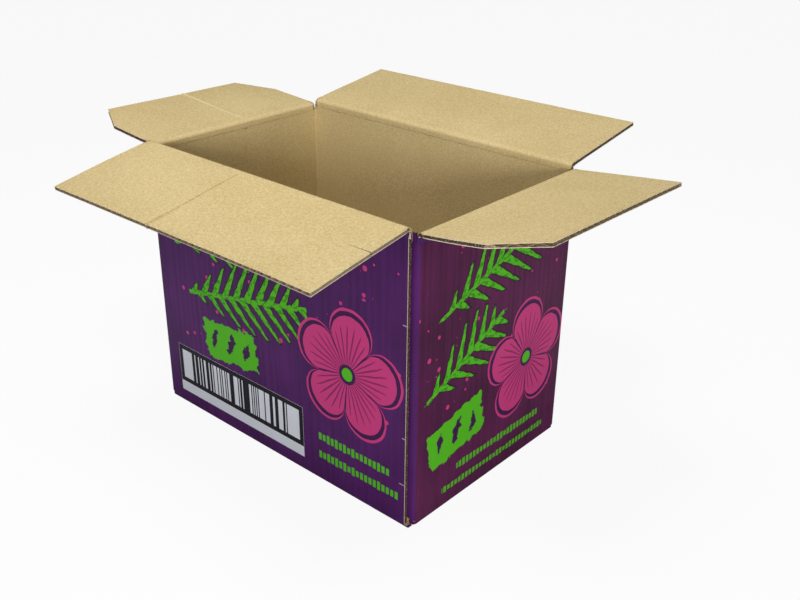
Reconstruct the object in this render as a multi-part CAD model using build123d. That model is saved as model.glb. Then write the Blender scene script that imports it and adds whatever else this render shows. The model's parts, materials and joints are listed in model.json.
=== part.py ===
from build123d import *
import math
import os

# Regular slotted carton for six bottles, folded from one blank of single wall B flute
# board. It stands open: the base is folded shut and glued, the four top flaps lie out.
# Millimetres. X runs along the long side, Y across, Z up, origin at the centre of the base.

# Board: two liners with a fluted medium between them, flutes upright in the walls
BOARD = 3.0
LINER = 0.35
MEDIUM = 0.3
FLUTE_PITCH = 6.5
FLUTE_CREST = 1.2

# Carton, outside
LENGTH = 275.0
WIDTH = 180.0
LONG_CREASE_Z = 225.6
FLAP_DEPTH = 85.0

# Blank: slots between the flaps, cut back corners of the short flaps
LONG_FLAP_INSET = 3.5
SHORT_FLAP_INSET = 4.0
SLOT_DEPTH = 3.0
SHORT_FLAP_STRAIGHT = 50.0
SHORT_FLAP_CHAMFER = 18.0
BASE_SLOT_Z = 5.0

# Upright folds and the glue joint at the front right corner
FOLD_R = 2.2
RAW_EDGE_INSET = 6.0
TAB_WIDTH = 35.0
TAB_TAPER = 9.0
TAB_END_GAP = 1.5

# Flap creases: the board is crushed to a bead that the flap turns on
AXIS_DEPTH = 0.7
BEAD_R = 0.9
CREASE_GAP = 0.2
BACK_FOLD = 70.0
CRUSHED_WIDTH = 8.0
BASE_FLUTE_DEPTH = 15.0
CLOSED_GAP = 0.3

# Short cut torn into the front flap from its right edge
SLIT_FROM_CREASE = 34.5
SLIT_LENGTH = 24.0
SLIT_WIDTH = 0.9

# How far each flap stands above the horizontal, folded outwards
FRONT_LIFT = -9.8
BACK_LIFT = 9.4
LEFT_LIFT = 3.9
RIGHT_LIFT = 6.5

# Sizes that follow, and how far a cutting shape runs past what it cuts
OVERCUT = BOARD / 3
INNER_DEPTH = BOARD - AXIS_DEPTH
SHORT_CREASE_Z = LONG_CREASE_Z - BOARD - CLOSED_GAP
TOP_SLOT_Z = SHORT_CREASE_Z - SLOT_DEPTH
HALF_WEDGE = math.tan(math.radians((90.0 - BACK_FOLD) / 2))
RAW_EDGE_X = LENGTH / 2 - RAW_EDGE_INSET
REACH = LENGTH + WIDTH


def crease_plane(outward, z):
    """Plane on a crease axis: local x along the crease, y out of the carton, z up."""
    half = LENGTH / 2 if outward.X else WIDTH / 2
    along = outward.cross(Vector(0, 0, 1))
    return Plane(outward * (half - AXIS_DEPTH) + Vector(0, 0, z), x_dir=along, z_dir=(0, 0, 1))


def flute_cells(span):
    """The air spaces on both sides of the medium, as seen at a cut end of the board."""
    low = LINER - AXIS_DEPTH
    high = INNER_DEPTH - LINER
    rise = high - low - MEDIUM
    run = FLUTE_PITCH / 2 - FLUTE_CREST
    slant = MEDIUM * math.hypot(rise, run) / rise
    mouth = (FLUTE_PITCH - FLUTE_CREST - slant + run * MEDIUM / rise) / 2
    throat = mouth - run

    cells = Sketch()
    whole = int((span - 2 * mouth) / FLUTE_PITCH)
    for i in range(2 * whole + 1):
        x = (i - whole) * FLUTE_PITCH / 2
        if i % 2:
            cells += trapezoid(x, low, mouth, high - MEDIUM, throat)
        else:
            cells += trapezoid(x, low + MEDIUM, throat, high, mouth)
    return cells


def trapezoid(x, low, low_half, high, high_half):
    """One air space, centred on x."""
    return Polygon(
        (x - low_half, low),
        (x + low_half, low),
        (x + high_half, high),
        (x - high_half, high),
        align=None,
    )


def flap_plate(length):
    """A flap lying flat and outwards: crushed root on its bead, square cut free edge."""
    root = Polygon(
        (0, 0),
        (AXIS_DEPTH / HALF_WEDGE, -AXIS_DEPTH),
        (FLAP_DEPTH, -AXIS_DEPTH),
        (FLAP_DEPTH, INNER_DEPTH),
        (INNER_DEPTH, INNER_DEPTH),
        align=None,
    )
    profile = Plane.YZ * (root + Circle(BEAD_R))
    return extrude(profile, amount=length / 2, both=True)


def open_flutes(length):
    """The flute channels of a flap, open at its free edge and crushed shut at its root."""
    return fluted(length, FLAP_DEPTH, FLAP_DEPTH - CRUSHED_WIDTH)


def fluted(length, edge, depth):
    """Flute channels cut in from a free edge that lies at local y = edge."""
    start = Plane((0, edge + OVERCUT, 0), x_dir=(1, 0, 0), z_dir=(0, -1, 0))
    return extrude(start * flute_cells(length), amount=depth + OVERCUT)


def long_flap(left_end, right_end):
    """A long flap between two ends measured along its crease."""
    length = right_end - left_end
    flap = flap_plate(length) - open_flutes(length)
    return Pos((left_end + right_end) / 2, 0, 0) * flap


def short_flap(left_cut, right_cut):
    """A short flap, its outer corners cut back by the amounts given for each end."""
    length = WIDTH - 2 * SHORT_FLAP_INSET
    half = length / 2
    outline = Polygon(
        (-half, -BOARD),
        (half, -BOARD),
        (half, SHORT_FLAP_STRAIGHT),
        (half - right_cut, FLAP_DEPTH),
        (-half + left_cut, FLAP_DEPTH),
        (-half, SHORT_FLAP_STRAIGHT),
        align=None,
    )
    plate = flap_plate(length) & extrude(outline, amount=2 * BOARD, both=True)
    return plate - open_flutes(length)


def torn_slit(edge_x):
    """Narrow wedge through the board, from the side edge of a flap inwards."""
    wedge = Polygon(
        (edge_x - OVERCUT, SLIT_FROM_CREASE - SLIT_WIDTH / 2),
        (edge_x + SLIT_LENGTH, SLIT_FROM_CREASE),
        (edge_x - OVERCUT, SLIT_FROM_CREASE + SLIT_WIDTH / 2),
        align=None,
    )
    return extrude(wedge, amount=2 * BOARD, both=True)


def crease_relief():
    """What a wall lacks above its crease: the bead's seat, an inner mitre, an outer crush."""
    outer = AXIS_DEPTH + BOARD
    inner = INNER_DEPTH + BOARD
    drop = CREASE_GAP * math.sqrt(2)
    crush = Polygon(
        (-CREASE_GAP, 0),
        (outer, -(outer + CREASE_GAP) / HALF_WEDGE),
        (outer, REACH),
        (-CREASE_GAP, REACH),
        align=None,
    )
    mitre = Polygon((0, -drop), (0, REACH), (-inner, REACH), (-inner, -inner - drop), align=None)
    profile = Plane.YZ * (crush + mitre + Circle(BEAD_R + CREASE_GAP))
    return extrude(profile, amount=REACH / 2, both=True)


def walls():
    """The four walls in plan, from the glue tab's free end round to the raw edge."""
    x = (LENGTH - BOARD) / 2
    y = (WIDTH - BOARD) / 2
    lap = BOARD - y
    path = FilletPolyline(
        (LENGTH / 2 - BOARD - TAB_WIDTH, lap),
        (x, lap),
        (x, y),
        (-x, y),
        (-x, -y),
        (0, -y),
        radius=FOLD_R,
    )
    floor = Pos(0, 0, BOARD)
    loop = extrude(floor * trace(path, line_width=BOARD), amount=LONG_CREASE_Z)
    last = Line((0, -y), (RAW_EDGE_X, -y))
    return loop - tab_trim() + extrude(floor * trace(last, line_width=BOARD), amount=LONG_CREASE_Z)


def tab_trim():
    """What is cut from the glue tab, so that its tapered ends clear the folded short flaps."""
    root = LENGTH / 2 - BOARD
    low = 2 * BOARD + TAB_END_GAP
    high = SHORT_CREASE_Z - INNER_DEPTH - TAB_END_GAP
    keep = Polygon(
        (root, low),
        (root - TAB_WIDTH, low + TAB_TAPER),
        (root - TAB_WIDTH, high - TAB_TAPER),
        (root, high),
        align=None,
    )
    around = Pos(root - TAB_WIDTH, REACH / 2) * Rectangle(2 * TAB_WIDTH, 2 * REACH)
    cut = Plane.XZ.offset(WIDTH / 2 - 2 * BOARD) * (around - keep)
    return extrude(cut, amount=BOARD) & Pos(root - REACH / 2, 0, 0) * Box(REACH, REACH, 2 * REACH)


def base_flap(half_length, floor_z):
    """A base flap folded shut: rounded where the wall turns under, fluted at its free edge."""
    turn = CenterArc((AXIS_DEPTH - BOARD, BOARD), BOARD, 270, 90)
    rest = Polyline(turn @ 1, (-FLAP_DEPTH, BOARD), (-FLAP_DEPTH, 0), turn @ 0)
    plate = extrude(Plane.YZ * make_face([turn, rest]), amount=half_length, both=True)
    flutes = Rot(0, 0, 180) * fluted(2 * half_length, FLAP_DEPTH, BASE_FLUTE_DEPTH)
    return Pos(0, 0, floor_z) * (plate - Pos(0, 0, AXIS_DEPTH) * flutes)


FRONT = Vector(0, -1, 0)
BACK = Vector(0, 1, 0)
LEFT = Vector(-1, 0, 0)
RIGHT = Vector(1, 0, 0)


def carton_body():
    """Walls, glue tab and shut base of the folded blank, as one piece."""
    body = walls()
    corner = Box(2 * LONG_FLAP_INSET, 2 * SHORT_FLAP_INSET, REACH)
    for side_x in (-1, 1):
        for side_y in (-1, 1):
            at = Pos(side_x * LENGTH / 2, side_y * WIDTH / 2, 0)
            body -= at * Pos(0, 0, TOP_SLOT_Z + REACH / 2) * corner
            body -= at * Pos(0, 0, BASE_SLOT_Z - REACH / 2) * corner

    half_short = WIDTH / 2 - SHORT_FLAP_INSET
    for outward in (FRONT, BACK):
        body -= crease_plane(outward, LONG_CREASE_Z) * crease_relief()
        half = LENGTH / 2 - LONG_FLAP_INSET
        body += crease_plane(outward, 0) * base_flap(half, 0)
    side_band = Box(4 * BOARD, WIDTH - 2 * BOARD, 2 * REACH)
    for outward in (LEFT, RIGHT):
        relief = crease_plane(outward, SHORT_CREASE_Z) * crease_relief()
        body -= relief & (Pos(outward * (LENGTH / 2)) * side_band)
        body += crease_plane(outward, 0) * base_flap(half_short, BOARD)
    return body


def folded(flap, outward, z, lift):
    """A flap turned up from the horizontal about its crease."""
    return crease_plane(outward, z) * Rot(lift, 0, 0) * flap


right_end = LENGTH / 2 - LONG_FLAP_INSET
front_end = RAW_EDGE_X
front = long_flap(-front_end, right_end) - torn_slit(-front_end)

parts = {
    "carton_body": carton_body(),
    "front_flap": folded(front, FRONT, LONG_CREASE_Z, FRONT_LIFT),
    "back_flap": folded(long_flap(-right_end, right_end), BACK, LONG_CREASE_Z, BACK_LIFT),
    "left_flap": folded(short_flap(SHORT_FLAP_CHAMFER, SHORT_FLAP_CHAMFER), LEFT, SHORT_CREASE_Z, LEFT_LIFT),
    "right_flap": folded(short_flap(0, SHORT_FLAP_CHAMFER), RIGHT, SHORT_CREASE_Z, RIGHT_LIFT),
}

os.makedirs("parts", exist_ok=True)
for name, part in parts.items():
    export_step(part, f"parts/{name}.step")
    print(name, len(part.solids()), round(part.volume))
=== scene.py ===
# Carton for six bottles, folded from single wall corrugated board. It stands open with its
# four top flaps lying out: bare kraft inside, flood printed in purple outside.
import json
import math

import bmesh
import bpy
from mathutils import Matrix, Vector, noise


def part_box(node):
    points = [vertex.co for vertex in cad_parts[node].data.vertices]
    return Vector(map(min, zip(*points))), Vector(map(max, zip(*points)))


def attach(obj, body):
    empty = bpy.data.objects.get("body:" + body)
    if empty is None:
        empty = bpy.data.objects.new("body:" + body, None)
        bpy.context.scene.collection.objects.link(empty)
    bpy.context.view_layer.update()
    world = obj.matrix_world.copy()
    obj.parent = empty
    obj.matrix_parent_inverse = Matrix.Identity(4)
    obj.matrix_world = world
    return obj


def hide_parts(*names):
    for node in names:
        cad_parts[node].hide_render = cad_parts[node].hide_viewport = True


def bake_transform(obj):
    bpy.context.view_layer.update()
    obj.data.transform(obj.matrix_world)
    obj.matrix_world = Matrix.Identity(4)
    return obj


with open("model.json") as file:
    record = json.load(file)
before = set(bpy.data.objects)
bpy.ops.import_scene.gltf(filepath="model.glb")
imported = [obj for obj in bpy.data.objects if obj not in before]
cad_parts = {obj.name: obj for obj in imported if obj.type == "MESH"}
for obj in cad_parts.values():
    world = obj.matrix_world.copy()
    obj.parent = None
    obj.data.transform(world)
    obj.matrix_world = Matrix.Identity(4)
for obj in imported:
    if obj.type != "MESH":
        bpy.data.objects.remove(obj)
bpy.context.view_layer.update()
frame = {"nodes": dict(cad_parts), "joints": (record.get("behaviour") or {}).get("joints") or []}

# --- Camera ------------------------------------------------------------------------------
# It stands above the near right corner, as the photographer did, and looks a little down.
AZIMUTH, ELEVATION, ROLL = -48.62, 25.72, 0.73
DISTANCE = 0.8485
AIM = Vector((-0.0068, 0.0598, 0.0808))
FOCAL_PX, FRAME_PX = 988.3, 800

azimuth, elevation, roll = (math.radians(a) for a in (AZIMUTH, ELEVATION, ROLL))
back = Vector((
    math.cos(elevation) * math.cos(azimuth),
    math.cos(elevation) * math.sin(azimuth),
    math.sin(elevation),
))
level = Vector((0, 0, 1)).cross(back).normalized()
upright = back.cross(level)
right = level * math.cos(roll) + upright * math.sin(roll)
up = upright * math.cos(roll) - level * math.sin(roll)

camera = bpy.data.objects.new("camera", bpy.data.cameras.new("camera"))
camera.data.lens = FOCAL_PX * camera.data.sensor_width / FRAME_PX
camera.data.clip_start = 0.01
camera.matrix_world = Matrix((right, up, back)).transposed().to_4x4()
camera.matrix_world.translation = AIM + back * DISTANCE
bpy.context.scene.collection.objects.link(camera)
bpy.context.scene.camera = camera

# --- Kraft liner -------------------------------------------------------------------------
# The inside of the board is unbleached kraft paper, made on a paper machine. It gives a warm
# matt brown with short fibres, darker specks, and the flutes just telling through.
BOARD = 0.003
FLUTE_PITCH = 0.0065
PALE_FIBRE = "#E9DDB8"


def linear(hex_colour):
    """An sRGB hex colour as linear red, green, blue and alpha."""
    parts = [int(hex_colour[i:i + 2], 16) / 255 for i in (1, 3, 5)]
    return [c / 12.92 if c <= 0.04045 else ((c + 0.055) / 1.055) ** 2.4 for c in parts] + [1]


def node(tree, kind, inputs, out=0, **settings):
    """Adds a node, sets its properties and inputs, and gives the output asked for, or all."""
    new = tree.nodes.new("ShaderNode" + kind)
    for name, value in settings.items():
        setattr(new, name, value)
    for socket, value in inputs.items():
        if isinstance(value, bpy.types.NodeSocket):
            tree.links.new(value, new.inputs[socket])
        else:
            new.inputs[socket].default_value = value
    return new.outputs if out is None else new.outputs[out]


def new_material(name):
    """An empty material, its node tree and the object coordinates to draw on."""
    material = bpy.data.materials.new(name)
    material.use_nodes = True
    tree = material.node_tree
    tree.nodes.clear()
    return material, tree, node(tree, "TexCoord", {}, "Object")


def finish_material(tree, colour, height, depth, roughness, specular):
    """Principled shader over a bump of the given depth in metres."""
    relief = node(tree, "Bump", {"Height": height, "Distance": depth, "Strength": 1.0})
    shader = node(tree, "BsdfPrincipled", {
        "Base Color": colour,
        "Roughness": roughness,
        "Specular IOR Level": specular,
        "Normal": relief,
    })
    node(tree, "OutputMaterial", {"Surface": shader}, None)


def kraft_paper(name, light, dark, speck, flutes):
    """Kraft liner: clouds, fibres and specks, and how strongly the flutes tell through."""
    material, tree, where = new_material(name)
    # Clouds of 60 mm, fibres 2.2 mm long and 0.6 mm wide, specks of 0.8 mm: coarser than real
    # pulp, so that they show at this distance
    clouds = node(tree, "TexNoise", {"Vector": where, "Scale": 17, "Detail": 2.0})
    fibre_space = node(tree, "Mapping", {"Vector": where, "Scale": (450, 450, 1600)})
    fibres = node(tree, "TexNoise", {"Vector": fibre_space, "Scale": 1.0, "Detail": 3.0})
    specks = node(tree, "TexNoise", {
        "Vector": where, "Scale": 1250, "Detail": 2.0, "Roughness": 0.6,
    })
    tone = node(tree, "Math", {0: clouds, 1: 0.3}, operation="MULTIPLY")
    tone = node(tree, "Math", {0: fibres, 1: 0.7, 2: tone}, operation="MULTIPLY_ADD")
    tone = node(tree, "MapRange", {"Value": tone, "From Min": 0.32, "From Max": 0.68})
    colours = {0: tone, 6: linear(dark), 7: linear(light)}
    colour = node(tree, "Mix", colours, 2, data_type="RGBA")
    # Dark specks of bark and pale ones of bare fibre
    for start, stop, amount, tint in ((0.52, 0.68, 0.4, speck), (0.46, 0.34, 0.3, PALE_FIBRE)):
        much = node(tree, "MapRange", {
            "Value": specks, "From Min": start, "From Max": stop, "To Max": amount,
        })
        colour = node(tree, "Mix", {0: much, 6: colour, 7: linear(tint)}, 2, data_type="RGBA")
    ridges = flute_ridges(tree, where, flutes)
    height = node(tree, "Math", {0: specks, 1: 0.5, 2: ridges}, operation="MULTIPLY_ADD")
    # Unsized paper: fully matt, with a tooth of a quarter of a millimetre as drawn
    finish_material(tree, colour, height, 0.00025, 0.9, 0.1)
    return material


def flute_ridges(tree, where, strength):
    """The fluted medium telling through a liner: soft ridges a flute pitch apart."""
    across = node(tree, "SeparateXYZ", {"Vector": where}, None)
    waves = []
    for axis in "XY":
        wave = {0: across[axis], 1: 2 * math.pi / FLUTE_PITCH}
        wave = node(tree, "Math", wave, operation="MULTIPLY")
        waves.append(node(tree, "Math", {0: wave}, operation="COSINE"))
    facing = node(tree, "TexCoord", {}, "Normal")
    facing = node(tree, "VectorMath", {0: facing}, operation="ABSOLUTE")
    facing = node(tree, "SeparateXYZ", {"Vector": facing}, "X")
    end_wall = node(tree, "Math", {0: facing, 1: 0.7}, operation="GREATER_THAN")
    ridges = node(tree, "Mix", {0: end_wall, 2: waves[0], 3: waves[1]})
    return node(tree, "Math", {0: ridges, 1: strength}, operation="MULTIPLY")


kraft_inside = kraft_paper("kraft_liner", "#D2BD8D", "#BBA571", "#937A49", 0.12)
# Lighter and darker copies of the same kraft, laid on one flank of a fold mark's dent: painted
# highlight and painted shade
kraft_painted_highlight = kraft_paper("kraft_liner_painted_highlight", "#DDCA9C", "#CCB888", "#A98F5E", 0.12)
kraft_painted_shade = kraft_paper("kraft_liner_painted_shade", "#BFA977", "#A38C5B", "#7F683E", 0.12)

# --- Printed liner -----------------------------------------------------------------------
# The outside is white-top liner, flood printed in flexo inks: satin purple, with the flutes
# showing as faint upright streaks and the ink rubbed thin along the folds.
HALF_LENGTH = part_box("carton_body")[1].x
HALF_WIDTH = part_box("carton_body")[1].y
CREASE_Z = frame["joints"][0]["pos_m"][2]
PURPLE, DEEP_PURPLE, WORN_INK = "#571B69", "#3A0C49", "#B49AAE"
# The end panels carry the same purple ink as the long panels; these redder purples are painted
# light, standing in for the colour of the light on that side
END_PURPLE_WITH_PAINTED_LIGHT, END_DEEP_PURPLE_WITH_PAINTED_LIGHT = "#621A50", "#3F0B33"
PINK, DARK_PINK, GREEN, DARK_GREEN = "#CE3B80", "#8F2260", "#55BE15", "#3B8F10"
SHADOW_INK, BLACK, WHITE = "#26101F", "#15121C", "#E4E7F0"
RUBBED_WIDTH = 0.005
LEAFLET_PITCH, LEAFLET_LEAN, RIB_HALF = 0.0135, 0.8, 0.0016
LEAF_PITCH, LEAF_HALF, PATCH_RIM = 0.0105, 0.0042, 0.009
DASH_PITCH = 0.0042
LABEL_AT, LABEL_HALF = (-0.0450, 0.0395), (0.0750, 0.0175)
BEARER, BAR_MODULE = 0.0042, 0.00125


def purple_flood(tree, where, light=PURPLE, deep=DEEP_PURPLE):
    """The flood coat: its colour, and the height of the flutes under it."""
    # Streaks half a flute pitch wide, long upwards; clouds of 60 mm; grain of 0.9 mm
    streak_space = node(tree, "Mapping", {"Vector": where, "Scale": (300, 300, 6)})
    streaks = node(tree, "TexNoise", {"Vector": streak_space, "Scale": 1.0, "Detail": 2.0})
    clouds = node(tree, "TexNoise", {"Vector": where, "Scale": 17, "Detail": 2.0})
    grain = node(tree, "TexNoise", {"Vector": where, "Scale": 1100, "Detail": 2.0})
    ridges = flute_ridges(tree, where, 1.0)
    tone = node(tree, "Math", {0: streaks, 1: 0.35}, operation="MULTIPLY")
    for part, share in ((clouds, 0.5), (grain, 0.15), (ridges, 0.006)):
        tone = node(tree, "Math", {0: part, 1: share, 2: tone}, operation="MULTIPLY_ADD")
    tone = node(tree, "MapRange", {"Value": tone, "From Min": 0.36, "From Max": 0.64})
    colours = {0: tone, 6: linear(deep), 7: linear(light)}
    colour = node(tree, "Mix", colours, 2, data_type="RGBA")
    ridges = node(tree, "Math", {0: ridges, 1: streaks}, operation="MULTIPLY")
    height = node(tree, "Math", {0: grain, 1: 0.25, 2: ridges}, operation="MULTIPLY_ADD")
    return colour, height


def finish_print(tree, where, colour, height):
    """Rubs the ink off in flecks along the folds and base edges, and makes the coat satin."""
    where = node(tree, "VectorMath", {0: where}, operation="ABSOLUTE")
    x, y, z = node(tree, "SeparateXYZ", {"Vector": where}, None)
    from_x = node(tree, "Math", {0: HALF_LENGTH, 1: x}, operation="SUBTRACT")
    from_y = node(tree, "Math", {0: HALF_WIDTH, 1: y}, operation="SUBTRACT")
    from_x = node(tree, "Math", {0: from_x}, operation="ABSOLUTE")
    from_y = node(tree, "Math", {0: from_y}, operation="ABSOLUTE")
    fold = node(tree, "Math", {0: from_x, 1: from_y}, operation="ADD")
    edge = node(tree, "Math", {0: fold, 1: z}, operation="MINIMUM")
    flecks = node(tree, "TexNoise", {
        "Vector": where, "Scale": 260, "Detail": 6.0, "Roughness": 0.7,
    })
    reach = node(tree, "MapRange", {
        "Value": edge, "From Max": RUBBED_WIDTH, "To Min": 0.17, "To Max": -0.3,
    })
    rub = node(tree, "Math", {0: flecks, 1: reach}, operation="ADD")
    rub = node(tree, "MapRange", {
        "Value": rub, "From Min": 0.66, "From Max": 0.72, "To Max": 0.75,
    })
    worn = {0: rub, 6: colour, 7: linear(WORN_INK)}
    colour = node(tree, "Mix", worn, 2, data_type="RGBA")
    finish_material(tree, colour, height, 0.00005, 0.5, 0.2)


def printed_plain(name):
    """Flood print with no motif, as on the flaps and the base."""
    material, tree, where = new_material(name)
    colour, height = purple_flood(tree, where)
    finish_print(tree, where, colour, height)
    return material


def motif_space(tree, u, v, centre, turn, ragged=0.0):
    """Flat coordinates about a motif's centre, turned, and ragged by that many metres."""
    flat = node(tree, "CombineXYZ", {"X": u, "Y": v})
    if ragged:
        shake = node(tree, "TexNoise", {"Vector": flat, "Scale": 160, "Detail": 4.0}, "Color")
        shake = node(tree, "VectorMath", {0: shake, 1: (0.5, 0.5, 0.5)}, operation="SUBTRACT")
        shake = node(tree, "VectorMath", {0: shake, "Scale": 2 * ragged}, operation="SCALE")
        flat = node(tree, "VectorMath", {0: flat, 1: shake}, operation="ADD")
    local = node(tree, "Mapping", {
        "Vector": flat,
        "Location": (centre[0], centre[1], 0),
        "Rotation": (0, 0, math.radians(turn)),
    }, vector_type="TEXTURE")
    return node(tree, "SeparateXYZ", {"Vector": local}, None)[:2]


def inked(tree, colour, ink, *tests):
    """Another ink over the colour, where in each pair given the first is under the second."""
    mask = 1.0
    for low, high in tests:
        met = node(tree, "Math", {0: low, 1: high}, operation="LESS_THAN")
        mask = node(tree, "Math", {0: met, 1: mask}, operation="MULTIPLY")
    return node(tree, "Mix", {0: mask, 6: colour, 7: linear(ink)}, 2, data_type="RGBA")


def away_from(tree, value, middle):
    """How far a value is from the middle given, either way."""
    off = node(tree, "Math", {0: value, 1: middle}, operation="SUBTRACT")
    return node(tree, "Math", {0: off}, operation="ABSOLUTE")


def frond(tree, colour, u, v, centre, turn, length, spread):
    """A green palm frond in brush strokes: leaflets slanting off both sides of a rib."""
    along, across = motif_space(tree, u, v, centre, turn, 0.0012)
    side = node(tree, "Math", {0: across}, operation="ABSOLUTE")
    which = node(tree, "Math", {0: across}, operation="SIGN")
    # The leaflets lean forward, and those of one side start half a pitch after the other's
    lean = node(tree, "Math", {0: side, 1: -LEAFLET_LEAN, 2: along}, operation="MULTIPLY_ADD")
    lean = {0: which, 1: LEAFLET_PITCH / 4, 2: lean}
    lean = node(tree, "Math", lean, operation="MULTIPLY_ADD")
    cell = node(tree, "Math", {0: lean, 1: LEAFLET_PITCH}, operation="DIVIDE")
    cell = node(tree, "Math", {0: cell}, operation="FRACT")
    cell = away_from(tree, cell, 0.5)
    # They are longest halfway along the rib, and each thins to its tip
    place = node(tree, "Math", {0: lean, 1: length / 2}, operation="DIVIDE")
    place = node(tree, "Math", {0: place, 1: place}, operation="MULTIPLY")
    reach = node(tree, "MapRange", {"Value": place, "To Min": spread, "To Max": 0.0})
    share = node(tree, "Math", {0: side, 1: reach}, operation="DIVIDE")
    width = node(tree, "MapRange", {"Value": share, "To Min": 0.31, "To Max": 0.08})
    # A dark ink stands out round them, and the green is streaked as a dry brush leaves it
    wider = node(tree, "Math", {0: width, 1: 0.09}, operation="ADD")
    longer = node(tree, "Math", {0: reach, 1: 0.0012}, operation="ADD")
    colour = inked(tree, colour, SHADOW_INK, (cell, wider), (side, longer), (0.001, reach))
    brush = node(tree, "CombineXYZ", {"X": lean, "Y": side})
    streaks = node(tree, "TexNoise", {"Vector": brush, "Scale": 300})
    from_middle = node(tree, "Math", {0: along}, operation="ABSOLUTE")
    leaflets = (cell, width), (side, reach)
    rib = (side, RIB_HALF), (from_middle, length / 2)
    for stroke in (leaflets, rib):
        colour = inked(tree, colour, GREEN, *stroke)
        colour = inked(tree, colour, DARK_GREEN, *stroke, (0.55, streaks))
    return colour


def bloom(tree, colour, u, v, centre, turn, radius):
    """A five-petalled pink flower in two pinks, its petals parted and veined in dark lines."""
    x, y = motif_space(tree, u, v, centre, turn, 0.0006)
    away = node(tree, "CombineXYZ", {"X": x, "Y": y})
    away = node(tree, "VectorMath", {0: away}, "Value", operation="LENGTH")
    angle = node(tree, "Math", {0: y, 1: x}, operation="ARCTAN2")
    # The petals follow a cosine of 2.5 times the angle, so that five of them close the ring
    crest = node(tree, "Math", {0: angle, 1: 2.5}, operation="MULTIPLY")
    crest = node(tree, "Math", {0: crest}, operation="COSINE")
    crest = node(tree, "Math", {0: crest}, operation="ABSOLUTE")
    crest = node(tree, "Math", {0: crest, 1: 0.45}, operation="POWER")
    rim = node(tree, "MapRange", {"Value": crest, "To Min": 0.5 * radius, "To Max": radius})
    share = node(tree, "Math", {0: away, 1: rim}, operation="DIVIDE")
    colour = inked(tree, colour, PINK, (share, 1.13))
    colour = inked(tree, colour, DEEP_PURPLE, (share, 1.08))
    colour = inked(tree, colour, PINK, (share, 1.0))
    veins = node(tree, "Math", {0: angle, 1: 35.0}, operation="MULTIPLY")
    veins = node(tree, "Math", {0: veins}, operation="COSINE")
    fade = node(tree, "MapRange", {
        "Value": share, "From Min": 0.25, "From Max": 0.85, "To Min": -0.1, "To Max": -1.0,
    })
    colour = inked(tree, colour, DARK_PINK, (veins, fade), (share, 1.0))
    colour = inked(tree, colour, DEEP_PURPLE, (crest, 0.32), (share, 1.0))
    colour = inked(tree, colour, DEEP_PURPLE, (away, 0.17 * radius))
    return inked(tree, colour, GREEN, (away, 0.11 * radius))


def brush_patch(tree, colour, u, v, centre, turn, half):
    """A ragged green patch of ink with a row of dark leaves left open in it."""
    x, y = motif_space(tree, u, v, centre, turn, 0.006)
    side_x = node(tree, "Math", {0: x}, operation="ABSOLUTE")
    side_y = node(tree, "Math", {0: y}, operation="ABSOLUTE")
    colour = inked(tree, colour, GREEN, (side_x, half[0]), (side_y, half[1]))
    # The leaves lean, and narrow to a point above and below
    lean = node(tree, "Math", {0: y, 1: -0.5, 2: x}, operation="MULTIPLY_ADD")
    cell = node(tree, "Math", {0: lean, 1: LEAF_PITCH}, operation="PINGPONG")
    leaf = node(tree, "Math", {0: y, 1: y}, operation="MULTIPLY")
    leaf = node(tree, "MapRange", {
        "Value": leaf, "From Max": (0.62 * half[1]) ** 2, "To Min": LEAF_HALF, "To Max": 0.0,
    })
    inside = (side_x, half[0] - PATCH_RIM), (side_y, half[1])
    return inked(tree, colour, DEEP_PURPLE, (cell, leaf), *inside)


def splatter(tree, colour, u, v, bottom, ink):
    """Flicked ink: round dots up to 4 mm across, in clusters above the given height."""
    flat = node(tree, "CombineXYZ", {"X": u, "Y": v})
    spots = {"Vector": flat, "Scale": 95}
    cells = node(tree, "TexVoronoi", spots, None, voronoi_dimensions="2D")
    chance = node(tree, "SeparateXYZ", {"Vector": cells["Color"]})
    size = node(tree, "MapRange", {
        "Value": chance, "From Min": 0.45, "To Min": -0.05, "To Max": 0.2,
    })
    cluster = node(tree, "TexNoise", {"Vector": flat, "Scale": 26, "Detail": 1.0})
    return inked(tree, colour, ink, (cells["Distance"], size), (0.5, cluster), (bottom, v))


def dashes(tree, colour, u, v, left, right, level, tall):
    """A level row of short upright strokes of chance lengths, a plain register band."""
    cell = node(tree, "Math", {0: u, 1: DASH_PITCH}, operation="DIVIDE")
    chance = node(tree, "Math", {0: cell}, operation="FLOOR")
    chance = node(tree, "TexWhiteNoise", {"W": chance}, "Value", noise_dimensions="1D")
    reach = {"Value": chance, "To Min": 0.35 * tall, "To Max": 0.55 * tall}
    reach = node(tree, "MapRange", reach)
    across = node(tree, "Math", {0: cell}, operation="FRACT")
    across = away_from(tree, across, 0.5)
    off = away_from(tree, v, level)
    return inked(tree, colour, GREEN, (off, reach), (across, 0.34), (left, u), (u, right))


def case_label(tree, colour, u, v):
    """The white field for a case code: a black frame round bars that stand for no number."""
    x, y = motif_space(tree, u, v, LABEL_AT, 0.0)
    side_x = node(tree, "Math", {0: x}, operation="ABSOLUTE")
    side_y = node(tree, "Math", {0: y}, operation="ABSOLUTE")
    # The white strip runs 9 mm below the frame, where the number would be printed
    strip = away_from(tree, y, -0.0045)
    colour = inked(tree, colour, WHITE, (side_x, 0.0752), (strip, 0.0222))
    wide, tall = LABEL_HALF
    colour = inked(tree, colour, BLACK, (side_x, wide), (side_y, tall))
    colour = inked(tree, colour, WHITE, (side_x, wide - BEARER), (side_y, tall - BEARER))
    cell = node(tree, "Math", {0: x, 1: BAR_MODULE}, operation="DIVIDE")
    cell = node(tree, "Math", {0: cell}, operation="FLOOR")
    chance = node(tree, "TexWhiteNoise", {"W": cell}, "Value", noise_dimensions="1D")
    return inked(tree, colour, BLACK, (0.5, chance), (side_x, 0.0585), (side_y, tall - BEARER))


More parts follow.
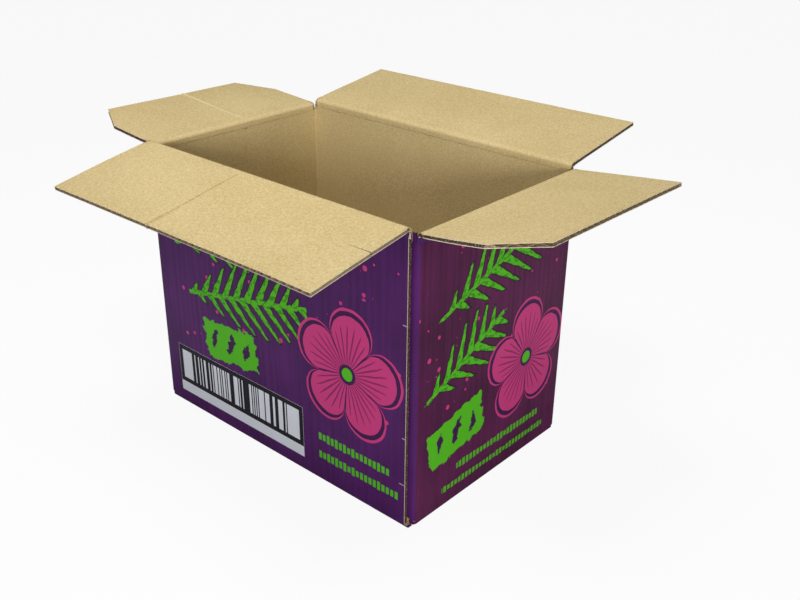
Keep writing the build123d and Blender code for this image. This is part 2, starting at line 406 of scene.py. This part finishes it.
def nicks(tree, colour, u, v, edge, heights):
    """Short pale nicks, where the glue joint's raw edge has chafed the panel."""
    back_in = away_from(tree, u, edge)
    for height, reach in heights:
        off = away_from(tree, v, height)
        colour = inked(tree, colour, WORN_INK, (off, 0.0004), (back_in, reach))
    return colour


def panel_axes(tree, where, across, side):
    """Flat axes of a printed panel, the same print on the wall opposite, turned round."""
    parts = node(tree, "SeparateXYZ", {"Vector": where}, None)
    flip = node(tree, "Math", {0: parts[side]}, operation="SIGN")
    return node(tree, "Math", {0: parts[across], 1: flip}, operation="MULTIPLY"), parts["Z"]


def printed_long(name):
    """The long panels: fronds above, a bloom, a green patch and the case label."""
    material, tree, where = new_material(name)
    colour, height = purple_flood(tree, where)
    u, v = panel_axes(tree, where, "X", "Y")
    u = node(tree, "Math", {0: u, 1: -1.0}, operation="MULTIPLY")
    colour = splatter(tree, colour, u, v, 0.07, PINK)
    colour = frond(tree, colour, u, v, (-0.040, 0.176), 20, 0.150, 0.032)
    colour = frond(tree, colour, u, v, (-0.030, 0.126), 12, 0.140, 0.030)
    colour = bloom(tree, colour, u, v, (0.078, 0.104), 12, 0.046)
    colour = brush_patch(tree, colour, u, v, (-0.050, 0.080), 6, (0.031, 0.0165))
    colour = dashes(tree, colour, u, v, 0.046, 0.118, 0.040, 0.007)
    colour = dashes(tree, colour, u, v, 0.046, 0.126, 0.024, 0.007)
    colour = case_label(tree, colour, u, v)
    marks = (0.160, 0.0035), (0.074, 0.003), (0.036, 0.005)
    colour = nicks(tree, colour, u, v, 0.1315, marks)
    finish_print(tree, where, colour, height)
    return material


def printed_end(name):
    """The end panels: fronds above, a bloom below them and a green patch beside it."""
    material, tree, where = new_material(name)
    # The flood here takes the end panels' redder purples, painted light
    colour, height = purple_flood(tree, where, END_PURPLE_WITH_PAINTED_LIGHT, END_DEEP_PURPLE_WITH_PAINTED_LIGHT)
    u, v = panel_axes(tree, where, "Y", "X")
    colour = splatter(tree, colour, u, v, 0.05, PINK)
    colour = frond(tree, colour, u, v, (0.008, 0.182), 20, 0.150, 0.030)
    colour = frond(tree, colour, u, v, (-0.034, 0.118), 26, 0.092, 0.025)
    colour = bloom(tree, colour, u, v, (0.040, 0.088), 20, 0.044)
    colour = brush_patch(tree, colour, u, v, (-0.042, 0.060), 12, (0.030, 0.0165))
    colour = dashes(tree, colour, u, v, -0.040, 0.062, 0.030, 0.006)
    colour = dashes(tree, colour, u, v, -0.056, 0.070, 0.016, 0.005)
    finish_print(tree, where, colour, height)
    return material


printed_flood = printed_plain("printed_liner_flood")
printed_front = printed_long("printed_liner_long_panel")
printed_side = printed_end("printed_liner_end_panel")

# --- Cut edges ---------------------------------------------------------------------------
# Where the board is cut, the two liners show as pale lines and the medium between them as
# rough, darker paper, its colour darkened further as painted shade. The die leaves short torn
# fibres on it. Where a cut runs along the flutes, their open hollows are painted near black as
# painted shade.
medium_paper = kraft_paper("fluting_medium_cut", "#A38D66", "#745F40", "#4A3B26", 0.0)
flute_hollow_painted_shade = kraft_paper("cut_flute_hollow_painted_shade", "#5A452E", "#33251A", "#1F1610", 0.0)
liner_edge = kraft_paper("liner_cut_edge", "#EDE3D2", "#D3C3AE", "#A8957C", 0.0)

# --- The board of walls, base and flaps --------------------------------------------------
# One die cut blank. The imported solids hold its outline, creases, slots and flutes; a finer
# copy of each bends and twists a little, as paper board does once a carton has been opened.
CELL = 0.005
FLAT = math.radians(1)
SHARP = math.radians(35)
MATERIALS = (
    printed_flood, printed_front, printed_side, kraft_inside, kraft_painted_highlight, kraft_painted_shade,
    medium_paper, flute_hollow_painted_shade, liner_edge,
)
(
    FLOOD, FRONT_PRINT, SIDE_PRINT, INSIDE, PAINTED_HIGHLIGHT, PAINTED_SHADE,
    MEDIUM, HOLLOW_PAINTED_SHADE, EDGE,
) = range(len(MATERIALS))


def board_copy(part):
    """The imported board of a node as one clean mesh, cut into cells small enough to bend."""
    bm = bmesh.new()
    bm.from_mesh(frame["nodes"][part].data)
    bmesh.ops.remove_doubles(bm, verts=bm.verts, dist=1e-6)
    bmesh.ops.dissolve_limit(bm, angle_limit=FLAT, verts=bm.verts, edges=bm.edges)
    low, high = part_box(part)
    for axis in range(3):
        normal = Vector((0, 0, 0))
        normal[axis] = 1
        cuts = int((high[axis] - low[axis]) / CELL)
        for i in range(1, cuts):
            cut_along(bm, low.lerp(high, i / cuts), normal)
    return bm


def cut_along(bm, point, normal):
    """Cuts every face that crosses the plane, and moves nothing."""
    everything = bm.verts[:] + bm.edges[:] + bm.faces[:]
    bmesh.ops.bisect_plane(bm, geom=everything, plane_co=point, plane_no=normal, dist=1e-6)


def board_piece(name, bm, part, body):
    """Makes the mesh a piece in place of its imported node, on the same body."""
    bmesh.ops.triangulate(bm, faces=bm.faces)
    bm.normal_update()
    for face in bm.faces:
        face.smooth = True
    for edge in bm.edges:
        edge.smooth = len(edge.link_faces) == 2 and edge.calc_face_angle(0) < SHARP
    mesh = bpy.data.meshes.new(name)
    bm.to_mesh(mesh)
    bm.free()
    piece = bpy.data.objects.new(name, mesh)
    bpy.context.scene.collection.objects.link(piece)
    for material in MATERIALS:
        mesh.materials.append(material)
    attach(piece, body)
    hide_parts(part)
    return piece


def soft(value, low, high):
    """0 below low, 1 above high and a smooth step between."""
    t = min(max((value - low) / (high - low), 0), 1)
    return t * t * (3 - 2 * t)


# Walls: each bows out a little between its folds, and the washboard of the flutes is bump
BOW_LONG, BOW_END = 0.0016, 0.0012
LINER = 0.0005
RAW_EDGE_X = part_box("front_flap")[1].x
# A face this near a plane lies in it; the crushed band under a crease; what a fold holds still
NEAR, CRUSH_BAND, FOLD_BAND = 0.0004, 0.012, 0.0065
walls = board_copy("carton_body")
cut_along(walls, (0, LINER - HALF_WIDTH, 0), (0, 1, 0))
walls.normal_update()
for face in walls.faces:
    centre, normal = face.calc_center_median(), face.normal
    depth_x, depth_y = HALF_LENGTH - abs(centre.x), HALF_WIDTH - abs(centre.y)
    outward = normal.x * centre.x + normal.y * centre.y
    joint_strip = centre.x > RAW_EDGE_X and centre.y < 0 and normal.y < -0.5
    outer = outward > NEAR / 2 and min(depth_x, depth_y) < 0.8 * BOARD and normal.z < 0.5
    # The glue joint's raw edge: the outer liner's pale line, then the open flute hollow painted
    # near black as painted shade
    if normal.x > 0.9 and abs(centre.x - RAW_EDGE_X) < NEAR / 2 and centre.y < 0:
        face.material_index = EDGE if depth_y < LINER else HOLLOW_PAINTED_SHADE
    elif centre.z < NEAR:
        face.material_index = FLOOD
    elif depth_y < NEAR and abs(normal.y) > 0.9:
        face.material_index = FRONT_PRINT
    elif depth_x < NEAR and abs(normal.x) > 0.9:
        face.material_index = SIDE_PRINT
    elif joint_strip or outer:
        face.material_index = FLOOD
    elif normal.z > 0.3 and centre.z > CREASE_Z - CRUSH_BAND:
        face.material_index = MEDIUM
    else:
        face.material_index = INSIDE

# At the glue joint the fold stands up to the creases; the left wall keeps an old fold's mark
# on its inside
POST_FOOT_Z, POST_DEPTH, POST_RISE = 0.2187, 0.0038, 0.0032
WALL_MARK, WALL_MARK_DEPTH = 0.0067, 0.0005
MARK_WIDTH = 0.0016
for step in (-MARK_WIDTH, 0, MARK_WIDTH):
    cut_along(walls, (0, WALL_MARK + step, 0), (0, 1, 0))
for vert in walls.verts:
    x, y, z = vert.co
    if z > POST_FOOT_Z and x > RAW_EDGE_X + LINER and y < POST_DEPTH - HALF_WIDTH:
        vert.co.z += POST_RISE
    if 0.8 * BOARD < x + HALF_LENGTH < 1.2 * BOARD:
        vert.co.x -= WALL_MARK_DEPTH * (1 - soft(abs(y - WALL_MARK), 0, MARK_WIDTH))
    rise = math.sin(math.pi * min(max(z / CREASE_Z, 0), 1)) ** 2
    swell = 0.75 + 0.5 * noise.noise(Vector((x, y, z)) * 12)
    share_x, share_y = abs(x) / (HALF_LENGTH - FOLD_BAND), abs(y) / (HALF_WIDTH - FOLD_BAND)
    if share_y > 1 > share_x:
        vert.co.y += math.copysign(BOW_LONG * rise * (1 - share_x ** 2) * swell, y)
    elif share_x > 1 > share_y:
        vert.co.x += math.copysign(BOW_END * rise * (1 - share_y ** 2) * swell, x)
board_piece("carton_walls_and_base", walls, "carton_body", "carton")

# Flaps: each turns on its crease. It is warped by some degrees at either end, bowed along
# its middle, and wanders by up to a millimetre. Long flaps warp one way and short flaps the
# other, so that nothing meets when all four are shut. Some carry the mark of an old fold.
BACK_FOLD = 70.0
# Where a flap carries an old fold's mark, the kraft on one flank of its dent is painted: lighter
# on the left flap as a painted highlight, darker on the front flap as painted shade
FLAPS = {
    "front": {"warp": (0.0, -0.8), "bow": -0.0008, "mark": -0.0228, "mark_painted_light": PAINTED_SHADE},
    "back": {"warp": (-0.5, -0.1), "bow": -0.0008, "mark": None},
    "left": {"warp": (0.9, 0.1), "bow": 0.0008, "mark": 0.0088, "mark_painted_light": PAINTED_HIGHLIGHT},
    "right": {"warp": (0.1, 1.9), "bow": 0.0006, "mark": None},
}
# A crease's axis lies this far in from the printed face, and the rest in from the kraft one
AXIS_DEPTH = 0.0007
INNER_DEPTH = BOARD - AXIS_DEPTH
MARK_DEPTH = 0.0007
ROOT = 0.005
for joint in frame["joints"]:
    body = joint["child"]
    shape = FLAPS[body]
    lift = math.radians(-BACK_FOLD - joint["range_deg"][0])
    pivot = Vector(joint["pos_m"])
    along = Vector(joint["axis"])
    outward = along.cross(Vector((0, 0, 1))) * -1
    out = outward * math.cos(lift) + Vector((0, 0, 1)) * math.sin(lift)
    face_up = Vector((0, 0, 1)) * math.cos(lift) - outward * math.sin(lift)
    part = body + "_flap"
    flap = board_copy(part)
    for depth in (LINER - AXIS_DEPTH, INNER_DEPTH - LINER):
        cut_along(flap, pivot + face_up * depth, face_up)
    if shape["mark"] is not None:
        mark = Vector((abs(along.x), abs(along.y), 0))
        for step in (-MARK_WIDTH, 0, MARK_WIDTH):
            cut_along(flap, mark * (shape["mark"] + step), mark)
    flap.normal_update()
    reach = max((v.co - pivot).dot(out) for v in flap.verts)
    half = max(abs((v.co - pivot).dot(along)) for v in flap.verts)
    for face in flap.faces:
        up_part = face.normal.dot(face_up)
        centre = face.calc_center_median()
        depth = (centre - pivot).dot(face_up)
        printed = up_part < -0.9 and depth < -AXIS_DEPTH + NEAR / 4
        crushed = up_part < -0.2 and (centre - pivot).dot(out) < ROOT
        side_end = abs(face.normal.dot(along)) > 0.9 and abs(centre.dot(along)) > half - LINER
        if printed or crushed:
            face.material_index = FLOOD
        elif up_part > 0.9 and depth > INNER_DEPTH - NEAR / 4:
            # On one flank of the mark's dent the kraft is painted: lighter on the left flap as a
            # painted highlight, darker on the front flap as painted shade
            marked = shape["mark"] is not None and (
                -MARK_WIDTH < centre.dot(mark) - shape["mark"] < 0
            )
            face.material_index = shape["mark_painted_light"] if marked else INSIDE
        elif depth < LINER - AXIS_DEPTH or depth > INNER_DEPTH - LINER:
            face.material_index = EDGE
        # A flap's cut ends run along the flutes: their open hollows are painted near black as
        # painted shade
        elif side_end:
            face.material_index = HOLLOW_PAINTED_SHADE
        else:
            face.material_index = MEDIUM
    for vert in flap.verts:
        place = vert.co - pivot
        u, v = place.dot(along) / half, place.dot(out) / reach
        hold = soft(v, 0.06, 1.0)
        first, last = shape["warp"]
        twist = v * reach * math.tan(math.radians(first + (last - first) * (u + 1) / 2))
        arch = shape["bow"] * (1 - u * u) * math.sin(math.pi * min(max(v, 0), 1))
        wander = math.copysign(0.0003 + 0.0007 * noise.noise(vert.co * 14), shape["bow"])
        dent = 0
        if shape["mark"] is not None:
            off = abs((vert.co.x if along.x else vert.co.y) - shape["mark"])
            dent = math.copysign(MARK_DEPTH * (1 - soft(off, 0, MARK_WIDTH)), shape["bow"])
        vert.co += face_up * hold * (twist + wander + arch + dent)
    board_piece(part + "_board", flap, part, body)

# --- Flap creases ------------------------------------------------------------------------
# Each flap bends on a crushed line. The kraft liner stretches round the outside of the bend
# in a soft ridge, and the printed liner is nipped into the inside; both are drawn as the flaps
# stand.
# The liner as drawn: how thick it is, how proud it stands, and how deep its ends are sunk
SKIN, PROUD, SUNK = 0.00006, 0.00006, 0.0001
SKIN_REACH = 0.0056
CREASE_STEP = 0.003


def on_flap(lift, v, depth):
    """A point of a flap's section, v out from its crease and depth above it."""
    level_part = v * math.cos(lift) - depth * math.sin(lift)
    return level_part, v * math.sin(lift) + depth * math.cos(lift)


def crease_liner(name, joint, profile, material, waver):
    """A liner over a crease: its profile drawn out along it, and wavering near the crease."""
    pivot, along = Vector(joint["pos_m"]), Vector(joint["axis"])
    outward = Vector((0, 0, 1)).cross(along)
    board = frame["nodes"][joint["child"] + "_flap"].data
    ends = [(v.co - pivot).dot(along) for v in board.vertices]
    start, stop = min(ends), max(ends)
    first = pivot + along * start
    bm = bmesh.new()
    row = [bm.verts.new(first + outward * y + Vector((0, 0, z))) for y, z in profile]
    edges = [bm.edges.new(pair) for pair in zip(row, row[1:])]
    steps = round((stop - start) / CREASE_STEP)
    for _ in range(steps):
        grown = bmesh.ops.extrude_edge_only(bm, edges=edges)["geom"]
        verts = [g for g in grown if isinstance(g, bmesh.types.BMVert)]
        edges = [g for g in grown if isinstance(g, bmesh.types.BMEdge)]
        edges = [edge for edge in edges if all(v in verts for v in edge.verts)]
        bmesh.ops.translate(bm, verts=verts, vec=along * (stop - start) / steps)
    for vert in bm.verts:
        off = vert.co - pivot
        off -= along * off.dot(along)
        near = 1 - soft(off.length, 0.6 * SKIN_REACH, SKIN_REACH)
        crush = noise.noise(vert.co * 70) + 0.6 * noise.noise(vert.co * 260)
        vert.co += off.normalized() * waver * crush * near
    bmesh.ops.recalc_face_normals(bm, faces=bm.faces)
    bmesh.ops.solidify(bm, geom=bm.faces[:], thickness=SKIN)
    bmesh.ops.recalc_face_normals(bm, faces=bm.faces)
    for face in bm.faces:
        face.smooth = True
    mesh = bpy.data.meshes.new(name)
    bm.to_mesh(mesh)
    bm.free()
    mesh.materials.append(material)
    piece = bpy.data.objects.new(name, mesh)
    bpy.context.scene.collection.objects.link(piece)
    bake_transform(piece)


for joint in frame["joints"]:
    body = joint["child"]
    lift = math.radians(-BACK_FOLD - joint["range_deg"][0])

    # The kraft ridge: up the wall, round the bend, and out along the flap, sunk at both ends.
    skin = INNER_DEPTH + PROUD
    ridge = [(SUNK - INNER_DEPTH, -SKIN_REACH), (-skin, -0.0038), (-skin, -0.0015)]
    ridge += [(-0.0023, -0.0003), (-0.0022, 0.0006), (-0.0001, 0.0022)]
    ridge += [on_flap(lift, 0.0015, skin), on_flap(lift, 0.0038, skin)]
    ridge.append(on_flap(lift, SKIN_REACH, INNER_DEPTH - SUNK))
    crease_liner(body + "_crease_kraft", joint, ridge, kraft_inside, 0.0001)

    # The printed nip: up the wall to the inside of the bend and out under the flap, full on it
    # by 2.6 mm out, which is short of the long flaps' ends when all are shut
    skin = AXIS_DEPTH + PROUD / 2
    nip = [(AXIS_DEPTH - SUNK, -SKIN_REACH)]
    nip += [(skin, z) for z in (-0.0038, -0.0016, -0.0011)]
    nip += [on_flap(lift, v, -skin) for v in (0.0014, 0.0020, 0.0026, 0.0038)]
    nip.append(on_flap(lift, SKIN_REACH, SUNK - AXIS_DEPTH))
    crease_liner(body + "_crease_print", joint, nip, printed_flood, 0.00004)

# --- Torn liner at the slots -------------------------------------------------------------
# Where the die left the slots joined by a thread, the liner tore as the flaps were opened.
# Small curled flakes of it stand at the corners, every other one turned to its torn side.
FLAKES = (
    ((0.1340, -0.0874, 0.2215), (0.0030, 0.0002, 0.0062), 11),
    ((0.1318, -0.0890, 0.2222), (0.0012, 0.0003, 0.0036), 12),
    ((0.1352, -0.0868, 0.2232), (0.0012, 0.0004, 0.0030), 13),
    ((-0.1352, -0.0878, 0.2205), (0.0020, 0.0004, 0.0050), 14),
    ((-0.1340, 0.0876, 0.2212), (0.0018, 0.0004, 0.0040), 15),
    ((0.1344, 0.0876, 0.2212), (0.0020, 0.0004, 0.0044), 16),
)
for number, (place, size, seed) in enumerate(FLAKES, 1):
    flake = bmesh.new()
    bmesh.ops.create_cube(flake, size=1)
    bmesh.ops.subdivide_edges(flake, edges=flake.edges, cuts=4, use_grid_fill=True)
    bmesh.ops.scale(flake, vec=size, verts=flake.verts)
    for vert in flake.verts:
        shake = noise.noise_vector(Vector((vert.co.x * 900, seed, vert.co.z * 900)))
        vert.co += Vector((0.0004 * shake.x, 0.0003 * shake.y, 0.0006 * shake.z))
    bmesh.ops.translate(flake, vec=place, verts=flake.verts)
    name = "torn_liner_%d" % number
    mesh = bpy.data.meshes.new(name)
    flake.to_mesh(mesh)
    flake.free()
    mesh.materials.append(liner_edge if number % 2 == 0 else printed_flood)
    piece = bpy.data.objects.new(name, mesh)
    bpy.context.scene.collection.objects.link(piece)
    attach(piece, "carton")

# --- Floor, light and backdrop -----------------------------------------------------------
# Not part of the object: a pale studio floor under a soft lamp, on a white ground, with a
# second lamp to the near right that lights the printed panels.
# It lies just under the base, so that no two faces share a plane
FLOOR_Z = -0.0002
floor_mesh = bpy.data.meshes.new("floor")
floor_bm = bmesh.new()
bmesh.ops.create_grid(floor_bm, x_segments=1, y_segments=1, size=6)
floor_bm.to_mesh(floor_mesh)
floor_bm.free()
floor = bpy.data.objects.new("floor", floor_mesh)
floor.data.transform(Matrix.Translation((0, 0, FLOOR_Z)))
bpy.context.scene.collection.objects.link(floor)

# Seen by the camera it is near white, and still dark enough to hold the shadow
floor_material = bpy.data.materials.new("studio_floor")
floor_material.use_nodes = True
tree = floor_material.node_tree
tree.nodes.clear()
matt = node(tree, "BsdfDiffuse", {"Color": (0.9, 0.9, 0.9, 1)})
white = node(tree, "Emission", {"Color": (1, 1, 1, 1), "Strength": 1.0})
seen = node(tree, "LightPath", {}, "Is Camera Ray")
seen = node(tree, "Math", {0: seen, 1: 0.93}, operation="MULTIPLY")
surface = node(tree, "MixShader", {0: seen, 1: matt, 2: white})
node(tree, "OutputMaterial", {"Surface": surface}, None)
floor.data.materials.append(floor_material)

world = bpy.data.worlds.new("studio")
bpy.context.scene.world = world
world.use_nodes = True
tree = world.node_tree
tree.nodes.clear()
paths = node(tree, "LightPath", {}, None)
clear = paths["Is Camera Ray"]
for ray in ("Is Glossy Ray", "Is Transmission Ray"):
    clear = node(tree, "Math", {0: clear, 1: paths[ray]}, operation="MAXIMUM")
strength = node(tree, "MapRange", {"Value": clear, "To Min": 0.13, "To Max": 1.0})
ground = node(tree, "Background", {"Color": (1, 1, 1, 1), "Strength": strength})
node(tree, "OutputWorld", {"Surface": ground}, None)

LAMP_AIM = Vector((0, 0, 0.12))
LAMPS = {
    "key": {"at": (0.03, -0.18, 0.97), "size": 0.35, "watts": 6.0},
    "fill": {"at": (1.62, -1.35, 0.55), "size": 0.4, "watts": 21.5},
}
for name, lamp in LAMPS.items():
    light = bpy.data.lights.new(name, "AREA")
    light.size = lamp["size"]
    light.energy = lamp["watts"]
    stand = bpy.data.objects.new(name, light)
    stand.location = lamp["at"]
    aim = Vector(lamp["at"]) - LAMP_AIM
    stand.rotation_euler = aim.to_track_quat("Z", "Y").to_euler()
    bpy.context.scene.collection.objects.link(stand)

bpy.context.scene.view_settings.view_transform = "Standard"
